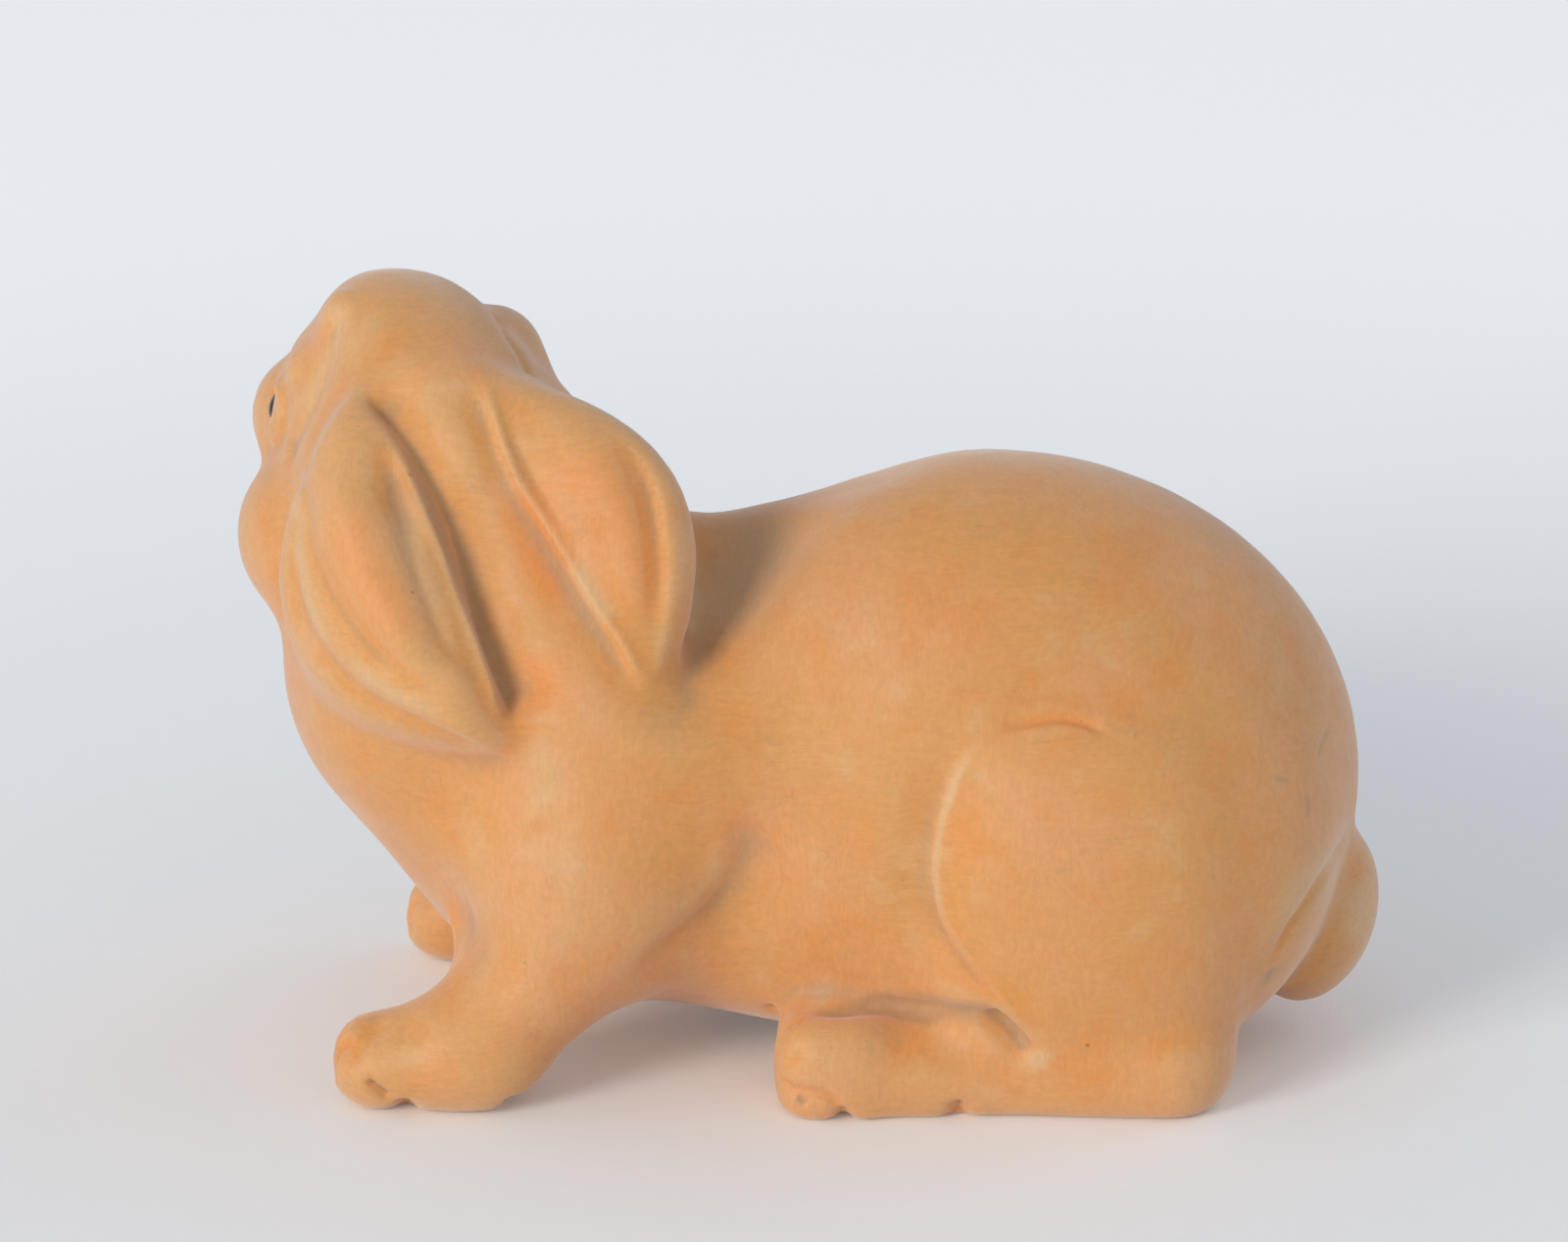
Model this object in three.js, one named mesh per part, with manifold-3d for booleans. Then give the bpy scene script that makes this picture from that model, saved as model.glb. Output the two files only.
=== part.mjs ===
// Rabbit netsuke: a crouching rabbit carved from one block of boxwood, head turned back over its
// right shoulder, with two horn eyes let into drilled sockets and a cord channel under the belly.
// Millimetres. The rabbit faces -X, its left side is -Y, up is +Z and its soles stand on Z = 0.
// A left and right pair is written once, for the left side, and mirrored where the animal is even.

import * as THREE from "three";
import Module from "manifold-3d";
import { triTable } from "three/addons/objects/MarchingCubes.js";
import { SimplifyModifier } from "three/addons/modifiers/SimplifyModifier.js";
import { mergeVertices } from "three/addons/utils/BufferGeometryUtils.js";

// Trunk
const RUMP_LENGTH = 33;
const RUMP_WIDTH = 22.2;
const RUMP_HEIGHT = 28.9;
const RUMP_CENTRE = [7.9, 0, 12];
const WAIST_LENGTH = 24;
const WAIST_WIDTH = 17.6;
const WAIST_HEIGHT = 21.2;
const WAIST_CENTRE = [-4, 0.4, 12];
const BRISKET_RADIUS = 8.5;
const BRISKET_CENTRE = [-9.8, 0.3, 11.5];
const CHEST_RADIUS = 9.2;
const CHEST_CENTRE = [-13.7, 0.5, 17.2];
const NECK_RADIUS = 7.3;
const NECK_CENTRE = [-15.2, 1, 23.4];
const TRUNK_JOIN = 3.5;
const BELLY_HEIGHT = 0.4;
const BELLY_JOIN = 4;
const NAPE_RADIUS = 3.8;
const NAPE_JOIN = 2;
const NAPE_HIGH_CENTRE = [-15.1, -2.1, 25.9];
const NAPE_LOW_CENTRE = [-10.5, -4.8, 17.6];
const NECK_HOLLOW_LOW_RADIUS = 1.4;
const NECK_HOLLOW_LOW_CENTRE = [-5, -8.8, 19.9];
const NECK_HOLLOW_HIGH_RADIUS = 2.8;
const NECK_HOLLOW_HIGH_CENTRE = [-3.2, -3.9, 24.6];

// Hind legs
const THIGH_LENGTH = 15.8;
const THIGH_THICKNESS = 11.4;
const THIGH_HEIGHT = 19;
const THIGH_CENTRE = [11.9, -7.1, 9.3];
const HAM_LENGTH = 16.4;
const HAM_THICKNESS = 12;
const HAM_HEIGHT = 18.4;
const HAM_CENTRE = [14.5, -5.4, 10.2];
const HAM_JOIN = 2.5;
const HEEL_RADIUS = 3;
const HEEL_CENTRE = [15.7, -9.2, 2.2];
const INSTEP_RADIUS = 2.3;
const INSTEP_CENTRE = [9, -9.1, 1.5];
const HIND_TOE_RADIUS = 2.6;
const HIND_TOE_CENTRE = [1.4, -9.2, 1.7];
const TOE_PAD_RADII = [2.6, 2.75, 2.6];
const TOE_PAD_CENTRE = [1.25, -9.2, 1.9];
const TOE_PAD_SQUARENESS = 3.2;
const FOOT_SPREAD = 1.08;

// Forelegs: the right one is drawn back a little
const SHOULDER_RADIUS = 5.6;
const SHOULDER_CENTRE = [-7.5, -4.6, 14.5];
const UPPER_ARM_RADIUS = 4.7;
const UPPER_ARM_CENTRE = [-9.4, -6.4, 9.5];
const FOREARM_RADIUS = 3.4;
const FOREARM_CENTRE = [-12, -8, 5.4];
const WRIST_RADIUS = 2.6;
const WRIST_CENTRE = [-14.6, -9, 2.8];
const PAW_RADIUS = 2.4;
const PALM_CENTRE = [-13.6, -9.1, 2.2];
const FORE_TOE_RADIUS = 2.2;
const FORE_TOE_CENTRE = [-18.45, -9.1, 1.9];
const PAW_SPREAD = 1.05;
const SHOULDER_JOIN = 4;
const FOREARM_JOIN = 2.2;
const RIGHT_PAW_DRAWN_BACK = 2.3;

// Tail, laid flat on the rump
const TAIL_LENGTH = 8.3;
const TAIL_WIDTH = 8.4;
const TAIL_THICKNESS = 5.6;
const TAIL_CENTRE = [22.5, 0, 5.45];
const TAIL_LEAN = 18;

// Head, in its own frame: +X to the nose, +Y to the rabbit's left, +Z to the crown
const HEAD_CENTRE = [-16.9, 2.6, 27.2];
const HEAD_YAW = 107;
const HEAD_PITCH = -21.5;
const HEAD_ROLL = 4;
const SKULL_LENGTH = 16;
const SKULL_WIDTH = 10.5;
const SKULL_HEIGHT = 13;
const SKULL_CENTRE = [-0.5, 0.3, 0];
const CROWN_RADII = [3.2, 2.5, 2.5];
const CROWN_CENTRE = [1.6, 1.9, 3.5];
const MUZZLE_LENGTH = 8.4;
const MUZZLE_WIDTH = 7;
const MUZZLE_HEIGHT = 7.2;
const MUZZLE_CENTRE = [5.6, 0, -1.7];
const LEFT_BROW_RADII = [2.8, 1.4, 1.5];
const LEFT_BROW_CENTRE = [2.1, 3.9, 0.7];
const RIGHT_BROW_RADII = [3.2, 1.9, 2.3];
const RIGHT_BROW_CENTRE = [2.4, -4.3, 1.3];
const CHEEK_RADII = [3, 2.5, 2.8];
const CHEEK_CENTRE = [4.3, 3.6, -2.8];
const JOWL_RADII = [4.2, 3.3, 3.5];
const JOWL_CENTRE = [-1.1, 4.3, -5.3];
const LIP_RADII = [2.2, 1.7, 1.9];
const LIP_CENTRE = [8, 1.3, -2.9];
const NOSE_RADII = [1, 1.2, 0.9];
const NOSE_CENTRE = [9.4, 0, -0.9];
const CHIN_RADII = [2.2, 1.7, 1.3];
const CHIN_CENTRE = [6.9, 0, -5];

// Ears, each with a straight inner edge from root to tip; an end lies this far out from the wood
const EAR_ROOT_DEPTH = 2.4;
const EAR_EDGE_RADIUS = 0.85;
const EAR_CORE_RISE = 0.55;
const LEFT_EAR = {
  root: [-19.1, -3, 30.5],
  tip: [-12.6, -9.9, 16.5],
  outward: [-0.42, -0.86, 0.28],
  side: -1,
  width: 7.8,
  widest: 0.52,
  innerRise: 1.7,
  outerRise: 0.9,
  bow: 1.4,
  droop: 1.4,
  join: 1.1,
};
const RIGHT_EAR = {
  root: [-14.9, -2.2, 31],
  tip: [-6.8, -8.6, 17.7],
  outward: [0.1, -0.88, 0.46],
  side: 1,
  width: 5.9,
  widest: 0.52,
  innerRise: 0.5,
  outerRise: 2,
  bow: 1,
  droop: 0.6,
  join: 1.5,
};

// Eyes: turned horn pegs with a domed head, let into the sides of the head
const EYE_DIAMETER = 2;
const EYE_DOME = 0.5;
const EYE_DOME_STEPS = 6;
const EYE_SINK = 0.35;
const EYE_PEG_LENGTH = 2.6;
const EYE_FIT_GAP = 0.3;
const LEFT_EYE_CENTRE = [2.9, 5.2, -0.9];
const RIGHT_EYE_CENTRE = [2.6, -5, 0];
const EYE_TURN_FORWARD = 28;
const EYE_TURN_UP = 8;

// Cord channel: two holes under the belly, joined by a half ring, the rear one opened for the knot
const CORD_HOLE_DIAMETER = 3;
const CORD_HOLE_SPACING = 7.4;
const KNOT_HOLE_DIAMETER = 4.2;
const KNOT_HOLE_DEPTH = 2;
const CORD_CHANNEL_CENTRE = [1.5, 0];

// Mesh: the step of the cells that the surface is traced in, and the faces that are kept of it
const CELL = 0.45;
const SURFACE_FACES = 10200;
const ROUND_SIDES = 24;

const BOXWOOD = new THREE.MeshStandardMaterial({ color: 0xdda36e, roughness: 0.48, metalness: 0 });
const HORN = new THREE.MeshStandardMaterial({ color: 0x14100e, roughness: 0.12, metalness: 0 });

// The carving is a list of masses, each worked into the ones before it with a soft join.
const carving = new THREE.Group();
const masses = [];
const local = new THREE.Vector3();

function half(...sizes) {
  return sizes.map((size) => size / 2);
}

function mirrored([x, y, z]) {
  return [x, -y, z];
}

// Smallest of two distances, rounded over where they are within reach of each other
function softMin(a, b, reach) {
  const near = Math.max(reach - Math.abs(a - b), 0) / reach;
  return Math.min(a, b) - (near * near * reach) / 4;
}

function softMax(a, b, reach) {
  return -softMin(-a, -b, reach);
}

function clay(x, y, z) {
  let distance = Infinity;
  for (const mass of masses) {
    const near = mass.distance(x, y, z);
    distance = mass.cut ? softMax(distance, -near, mass.join) : softMin(distance, near, mass.join);
  }
  return distance;
}

function steepest(x, y, z) {
  const reach = 0.04;
  return new THREE.Vector3(
    clay(x + reach, y, z) - clay(x - reach, y, z),
    clay(x, y + reach, z) - clay(x, y - reach, z),
    clay(x, y, z + reach) - clay(x, y, z - reach),
  ).divideScalar(2 * reach);
}

// Nearest place on the carved surface, and how far it may move for each call
function pulledToSurface(point, limit) {
  const slope = steepest(point.x, point.y, point.z);
  const step = clay(point.x, point.y, point.z) / Math.max(slope.lengthSq(), 0.01);
  return point.addScaledVector(slope, -THREE.MathUtils.clamp(step, -limit, limit));
}

// First place where a straight line enters the wood
function entryPoint(start, direction) {
  const step = 0.05;
  const point = start.clone();
  for (let travelled = 0; clay(point.x, point.y, point.z) > 0 && travelled < 60; travelled += step) {
    point.addScaledVector(direction, step);
  }
  return point;
}

function frameAt(parent, at, [x, y, z] = [0, 0, 0]) {
  const frame = new THREE.Group();
  frame.position.fromArray(at);
  frame.rotation.set(...[x, y, z].map(THREE.MathUtils.degToRad), "ZYX");
  parent.add(frame);
  carving.updateMatrixWorld(true);
  return frame;
}

// Egg-shaped mass; a squareness over 2 fills its corners
function egg(parent, at, radii, { join, turn, squareness = 2, cut = false }) {
  const inward = frameAt(parent, at, turn).matrixWorld.clone().invert();
  const size = new THREE.Vector3(...radii);
  const distance = (x, y, z) => {
    const unit = local.set(x, y, z).applyMatrix4(inward).divide(size);
    const round = unit.length();
    const square = squareness === 2 ? round : squareLength(unit, squareness);
    return (round * (square - 1)) / Math.max(unit.divide(size).length(), 1e-6);
  };
  masses.push({ distance, join, cut });
}

function squareLength({ x, y, z }, power) {
  return (Math.abs(x) ** power + Math.abs(y) ** power + Math.abs(z) ** power) ** (1 / power);
}

// Limb: a run of round stations, tapered from each to the next, and spread sideways
function limb(stations, { join, spread = 1, cut = false }) {
  const along = stations.slice(1).map(([end], index) => {
    const start = new THREE.Vector3(...stations[index][0]);
    return new THREE.Vector3(...end).sub(start);
  });
  const distance = (x, y, z) => {
    let nearest = Infinity;
    for (const [index, run] of along.entries()) {
      const [[startX, startY, startZ], radius] = stations[index];
      local.set(x - startX, y - startY, z - startZ);
      const share = THREE.MathUtils.clamp(local.dot(run) / run.lengthSq(), 0, 1);
      local.addScaledVector(run, -share);
      const wanted = THREE.MathUtils.lerp(radius, stations[index + 1][1], share);
      nearest = Math.min(nearest, Math.hypot(local.x, local.y / spread, local.z) - wanted);
    }
    return nearest;
  };
  masses.push({ distance, join, cut });
}

// Everything below a level is pared away
function paredBelow(level, join) {
  masses.push({ distance: (x, y, z) => z - level, join, cut: true });
}

// Ear: a leaf that lies along the neck, its inner edge straight and its outer edge full
function ear({ root, tip, outward, side, width, widest, innerRise, outerRise, bow, droop, join }) {
  const base = new THREE.Vector3(...root);
  const along = new THREE.Vector3(...tip).sub(base);
  const length = along.length();
  along.normalize();
  const out = new THREE.Vector3(...outward);
  out.addScaledVector(along, -out.dot(along)).normalize();
  const across = new THREE.Vector3().crossVectors(out, along).multiplyScalar(side);
  const skew = Math.log(0.5) / Math.log(widest);
  const distance = (x, y, z) => {
    local.set(x, y, z).sub(base);
    const share = local.dot(along) / length;
    const place = THREE.MathUtils.clamp(share, 0, 1);
    const fullness = Math.sin(Math.PI * place ** skew) ** 0.72;
    const reach = (width * 1.07 * fullness) / 2;
    const middle = (width * 0.93 * fullness) / 2;
    const sideways = local.dot(across);
    const past = Math.abs(share - place) * length;
    const beyond = Math.abs(sideways - middle) - reach;
    const edge = Math.hypot(Math.max(0, beyond), past) + Math.min(0, beyond);
    const lift = bow * (1 - (2 * place - 1) ** 2) - droop * (sideways / width) ** 2 * fullness;
    const height = local.dot(out) - lift;
    const spot = (sideways - middle) / (reach + 0.25);
    const core = EAR_CORE_RISE * Math.exp(-((spot / 0.5) ** 2)) * fullness;
    const rise = THREE.MathUtils.lerp(innerRise, outerRise, THREE.MathUtils.clamp(sideways / width, 0, 1));
    const top = rise * (0.35 + 0.65 * fullness ** 0.6) + core;
    const shell = softMax(edge, height - top, 2 * EAR_EDGE_RADIUS);
    return softMax(shell, -EAR_ROOT_DEPTH - height, 2 * EAR_EDGE_RADIUS);
  };
  masses.push({ distance, join, cut: false });
}

function trunk() {
  egg(carving, RUMP_CENTRE, half(RUMP_LENGTH, RUMP_WIDTH, RUMP_HEIGHT), { join: 1 });
  egg(carving, WAIST_CENTRE, half(WAIST_LENGTH, WAIST_WIDTH, WAIST_HEIGHT), { join: TRUNK_JOIN });
  const stations = [
    [BRISKET_CENTRE, BRISKET_RADIUS],
    [CHEST_CENTRE, CHEST_RADIUS],
    [NECK_CENTRE, NECK_RADIUS],
  ];
  limb(stations, { join: TRUNK_JOIN });
  const nape = [
    [NAPE_HIGH_CENTRE, NAPE_RADIUS],
    [NAPE_LOW_CENTRE, NAPE_RADIUS],
  ];
  limb(nape, { join: NAPE_JOIN });
  paredBelow(BELLY_HEIGHT, BELLY_JOIN);
}

function hindLeg(place) {
  egg(carving, place(HAM_CENTRE), half(HAM_LENGTH, HAM_THICKNESS, HAM_HEIGHT), { join: HAM_JOIN });
  const thigh = half(THIGH_LENGTH, THIGH_THICKNESS, THIGH_HEIGHT);
  egg(carving, place(THIGH_CENTRE), thigh, { join: 0.7, squareness: 2.4 });
  const stations = [
    [place(HEEL_CENTRE), HEEL_RADIUS],
    [place(INSTEP_CENTRE), INSTEP_RADIUS],
    [place(HIND_TOE_CENTRE), HIND_TOE_RADIUS],
  ];
  limb(stations, { join: 1, spread: FOOT_SPREAD });
  egg(carving, place(TOE_PAD_CENTRE), TOE_PAD_RADII, { join: 0.6, squareness: TOE_PAD_SQUARENESS });
}

function foreleg(place, drawnBack) {
  const back = (at, share) => {
    const [x, y, z] = place(at);
    return [x + drawnBack * share, y, z];
  };
  const shoulder = [back(SHOULDER_CENTRE, 0.2), SHOULDER_RADIUS];
  const upperArm = [back(UPPER_ARM_CENTRE, 0.5), UPPER_ARM_RADIUS];
  const forearm = [back(FOREARM_CENTRE, 0.8), FOREARM_RADIUS];
  const wrist = [back(WRIST_CENTRE, 1), WRIST_RADIUS];
  limb([shoulder, upperArm], { join: SHOULDER_JOIN });
  limb([upperArm, forearm, wrist], { join: FOREARM_JOIN });
  const paw = [
    [back(PALM_CENTRE, 1), PAW_RADIUS],
    [back(FORE_TOE_CENTRE, 1), FORE_TOE_RADIUS],
  ];
  limb(paw, { join: 1.5, spread: PAW_SPREAD });
}

function tail() {
  const radii = half(TAIL_THICKNESS, TAIL_WIDTH, TAIL_LENGTH);
  egg(carving, TAIL_CENTRE, radii, { join: 0.8, turn: [0, TAIL_LEAN, 0] });
}

function head() {
  const frame = frameAt(carving, HEAD_CENTRE, [HEAD_ROLL, HEAD_PITCH, HEAD_YAW]);
  egg(frame, SKULL_CENTRE, half(SKULL_LENGTH, SKULL_WIDTH, SKULL_HEIGHT), { join: 2 });
  egg(frame, CROWN_CENTRE, CROWN_RADII, { join: 1.2 });
  egg(frame, MUZZLE_CENTRE, half(MUZZLE_LENGTH, MUZZLE_WIDTH, MUZZLE_HEIGHT), { join: 2.5 });
  egg(frame, CHIN_CENTRE, CHIN_RADII, { join: 1 });
  egg(frame, LEFT_BROW_CENTRE, LEFT_BROW_RADII, { join: 1.2 });
  egg(frame, RIGHT_BROW_CENTRE, RIGHT_BROW_RADII, { join: 1.2 });
  for (const place of [(at) => at, mirrored]) {
    egg(frame, place(CHEEK_CENTRE), CHEEK_RADII, { join: 0.8 });
    egg(frame, place(JOWL_CENTRE), JOWL_RADII, { join: 1.5 });
    egg(frame, place(LIP_CENTRE), LIP_RADII, { join: 0.6 });
  }
  egg(frame, NOSE_CENTRE, NOSE_RADII, { join: 0.6 });
  return frame;
}

function neckHollow() {
  const stations = [
    [NECK_HOLLOW_LOW_CENTRE, NECK_HOLLOW_LOW_RADIUS],
    [NECK_HOLLOW_HIGH_CENTRE, NECK_HOLLOW_HIGH_RADIUS],
  ];
  limb(stations, { join: 2.6, cut: true });
}

// The masses are sampled on a grid that reaches past them, and the surface is traced cell by cell.
const CORNERS = [
  [0, 0, 0],
  [1, 0, 0],
  [1, 1, 0],
  [0, 1, 0],
  [0, 0, 1],
  [1, 0, 1],
  [1, 1, 1],
  [0, 1, 1],
];
const EDGES = [
  [0, 1],
  [1, 2],
  [3, 2],
  [0, 3],
  [4, 5],
  [5, 6],
  [7, 6],
  [4, 7],
  [0, 4],
  [1, 5],
  [2, 6],
  [3, 7],
];

function sampledGrid(low, high) {
  const counts = low.map((value, axis) => Math.ceil((high[axis] - value) / CELL) + 1);
  const [countX, countY, countZ] = counts;
  const values = new Float32Array(countX * countY * countZ);
  let index = 0;
  for (let k = 0; k < countZ; k++) {
    for (let j = 0; j < countY; j++) {
      for (let i = 0; i < countX; i++) {
        values[index++] = clay(low[0] + i * CELL, low[1] + j * CELL, low[2] + k * CELL);
      }
    }
  }
  return { low, counts, values };
}

function tracedSurface({ low, counts, values }) {
  const [countX, countY, countZ] = counts;
  const nodeAt = (i, j, k) => (k * countY + j) * countX + i;
  const positions = [];
  const faces = [];
  const found = new Map();
  const vertexOn = (i, j, k, edge) => {
    const [from, to] = EDGES[edge].map((corner) => CORNERS[corner]);
    const start = nodeAt(i + from[0], j + from[1], k + from[2]);
    const end = nodeAt(i + to[0], j + to[1], k + to[2]);
    const key = start * values.length + end;
    if (!found.has(key)) {
      const share = THREE.MathUtils.clamp(values[start] / (values[start] - values[end]), 0.05, 0.95);
      const steps = [i, j, k].map((cell, axis) => cell + from[axis] + share * (to[axis] - from[axis]));
      const point = new THREE.Vector3(...steps.map((step, axis) => low[axis] + step * CELL));
      found.set(key, positions.length / 3);
      positions.push(...pulledToSurface(point, 0.3 * CELL));
    }
    return found.get(key);
  };
  for (let k = 0; k < countZ - 1; k++) {
    for (let j = 0; j < countY - 1; j++) {
      for (let i = 0; i < countX - 1; i++) {
        let inside = 0;
        CORNERS.forEach(([x, y, z], corner) => {
          inside |= values[nodeAt(i + x, j + y, k + z)] < 0 ? 1 << corner : 0;
        });
        for (let entry = inside * 16; triTable[entry] !== -1; entry += 3) {
          const [a, b, c] = triTable.slice(entry, entry + 3);
          faces.push(vertexOn(i, j, k, a), vertexOn(i, j, k, c), vertexOn(i, j, k, b));
        }
      }
    }
  }
  return { positions, faces };
}

// Each vertex goes to the middle of its neighbours and back onto the surface, for even faces
function evenedOut({ positions, faces }) {
  const sums = new Float64Array(positions.length);
  const counts = new Uint32Array(positions.length / 3);
  for (let face = 0; face < faces.length; face += 3) {
    for (let corner = 0; corner < 3; corner++) {
      const vertex = faces[face + corner];
      const next = faces[face + ((corner + 1) % 3)];
      counts[vertex]++;
      for (let axis = 0; axis < 3; axis++) {
        sums[3 * vertex + axis] += positions[3 * next + axis];
      }
    }
  }
  const moved = [];
  for (let vertex = 0; vertex < counts.length; vertex++) {
    const centre = new THREE.Vector3().fromArray(sums, 3 * vertex).divideScalar(counts[vertex]);
    moved.push(...pulledToSurface(centre, CELL));
  }
  return { positions: moved, faces };
}

function geometryOf(positions, faces) {
  const geometry = new THREE.BufferGeometry();
  geometry.setAttribute("position", new THREE.BufferAttribute(new Float32Array(positions), 3));
  geometry.setIndex(new THREE.BufferAttribute(new Uint32Array(faces), 1));
  return geometry;
}

async function carvedGeometry() {
  const margin = 3;
  const low = [
    HEAD_CENTRE[0] - SKULL_LENGTH / 2 - margin,
    -THIGH_THICKNESS / 2 + THIGH_CENTRE[1] - margin,
    -margin,
  ];
  const high = [
    TAIL_CENTRE[0] + TAIL_LENGTH / 2 + margin,
    THIGH_THICKNESS / 2 - THIGH_CENTRE[1] + margin,
    HEAD_CENTRE[2] + SKULL_HEIGHT / 2 + margin,
  ];
  const { positions, faces } = evenedOut(evenedOut(tracedSurface(sampledGrid(low, high))));
  const fine = geometryOf(positions, faces);
  const extra = (positions.length / 3) * (1 - (3 * SURFACE_FACES) / faces.length);
  return extra > 0 ? new SimplifyModifier().modify(fine, extra) : fine;
}

const wasm = await Module();
wasm.setup();

function solidOf(closed) {
  const vertProperties = closed.attributes.position.array;
  const triVerts = new Uint32Array(closed.index.array);
  return new wasm.Manifold(new wasm.Mesh({ numProp: 3, vertProperties, triVerts }));
}

function mergedSolid(geometry) {
  geometry.deleteAttribute("normal");
  geometry.deleteAttribute("uv");
  return solidOf(mergeVertices(geometry));
}

function geometryFrom(solid) {
  const mesh = solid.getMesh();
  return geometryOf(mesh.vertProperties, mesh.triVerts);
}

// Where an eye sits: a frame on the skin of the head whose +Y points out of the head
function eyeFrame(headFrame, centre) {
  const [forward, up] = [EYE_TURN_FORWARD, EYE_TURN_UP].map(THREE.MathUtils.degToRad);
  const direction = new THREE.Vector3(Math.tan(forward), Math.sign(centre[1]), Math.tan(up)).normalize();
  const outside = new THREE.Vector3(...centre).addScaledVector(direction, SKULL_WIDTH / 2);
  const aim = direction.clone().transformDirection(headFrame.matrixWorld);
  const seat = entryPoint(headFrame.localToWorld(outside), aim.clone().negate());
  const frame = new THREE.Object3D();
  frame.position.copy(seat).addScaledVector(aim, -EYE_SINK);
  frame.quaternion.setFromUnitVectors(new THREE.Vector3(0, 1, 0), aim);
  frame.updateMatrixWorld(true);
  return frame;
}

function eyeGeometry() {
  const radius = EYE_DIAMETER / 2;
  const ball = (radius ** 2 + EYE_DOME ** 2) / (2 * EYE_DOME);
  const sweep = Math.asin(radius / ball);
  const dome = Array.from({ length: EYE_DOME_STEPS }, (entry, step) => {
    const angle = sweep * (1 - step / EYE_DOME_STEPS);
    return new THREE.Vector2(ball * Math.sin(angle), EYE_DOME - ball * (1 - Math.cos(angle)));
  });
  const [bottom, edge, top] = [
    [0, -EYE_PEG_LENGTH],
    [radius, -EYE_PEG_LENGTH],
    [0, EYE_DOME],
  ].map(([x, y]) => new THREE.Vector2(x, y));
  const profile = [bottom, edge, ...dome, top];
  return new THREE.LatheGeometry(profile, ROUND_SIDES);
}

function eyeSocket(frame) {
  const depth = EYE_PEG_LENGTH + EYE_FIT_GAP;
  const mouth = EYE_DOME + EYE_FIT_GAP;
  const drill = EYE_DIAMETER / 2 + EYE_FIT_GAP;
  const geometry = new THREE.CylinderGeometry(drill, drill, depth + mouth, ROUND_SIDES);
  geometry.translate(0, (mouth - depth) / 2, 0);
  return mergedSolid(geometry.applyMatrix4(frame.matrixWorld));
}

// The channel is a half ring seen from the side; its two ends come out of the belly
function cordChannel() {
  const [x, y] = CORD_CHANNEL_CENTRE;
  const below = new THREE.Vector3(x, y, -1);
  const belly = entryPoint(below, new THREE.Vector3(0, 0, 1)).z;
  const bend = CORD_HOLE_SPACING / 2;
  const ring = new THREE.TorusGeometry(bend, CORD_HOLE_DIAMETER / 2, 14, 40);
  ring.rotateX(Math.PI / 2);
  ring.translate(x, y, belly);
  const knot = KNOT_HOLE_DIAMETER / 2;
  const hole = new THREE.CylinderGeometry(knot, knot, 2 * KNOT_HOLE_DEPTH, ROUND_SIDES);
  hole.rotateX(Math.PI / 2);
  hole.translate(x + bend, y, belly);
  return mergedSolid(ring).add(mergedSolid(hole));
}

function floorBlock() {
  const block = new THREE.BoxGeometry(4 * RUMP_LENGTH, 4 * RUMP_WIDTH, RUMP_HEIGHT);
  return mergedSolid(block.translate(0, 0, -RUMP_HEIGHT / 2));
}

function named(name, geometry, material) {
  geometry.computeVertexNormals();
  const mesh = new THREE.Mesh(geometry, material);
  mesh.name = name;
  return mesh;
}

function eyeMesh(name, frame) {
  const mesh = named(name, eyeGeometry(), HORN);
  mesh.position.copy(frame.position);
  mesh.quaternion.copy(frame.quaternion);
  return mesh;
}

trunk();
hindLeg((at) => at);
hindLeg(mirrored);
foreleg((at) => at, 0);
foreleg(mirrored, RIGHT_PAW_DRAWN_BACK);
tail();
const headFrame = head();
neckHollow();
ear(LEFT_EAR);
ear(RIGHT_EAR);

const leftEye = eyeFrame(headFrame, LEFT_EYE_CENTRE);
const rightEye = eyeFrame(headFrame, RIGHT_EYE_CENTRE);
const carved = solidOf(await carvedGeometry())
  .subtract(floorBlock())
  .subtract(eyeSocket(leftEye))
  .subtract(eyeSocket(rightEye))
  .subtract(cordChannel());

const rabbit = new THREE.Group();
rabbit.add(named("carved_body", geometryFrom(carved), BOXWOOD));
rabbit.add(eyeMesh("left_eye", leftEye));
rabbit.add(eyeMesh("right_eye", rightEye));

// The origin is under the middle of the rabbit, on the surface that it stands on
const box = new THREE.Box3().setFromObject(rabbit);
const middle = box.getCenter(new THREE.Vector3());
rabbit.position.set(-middle.x, -middle.y, -box.min.z);

export default rabbit;
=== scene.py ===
# Rabbit netsuke: the looks of a rabbit carved from one block of boxwood, with two horn eyes let in.
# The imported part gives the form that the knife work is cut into. Units are metres, and +Z is up.
# The rabbit lies along X with its chest towards -X, and its left side faces -Y.

import math

import bmesh
import bpy
import numpy as np
from mathutils import Euler, Matrix, Vector
from mathutils.bvhtree import BVHTree


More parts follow.
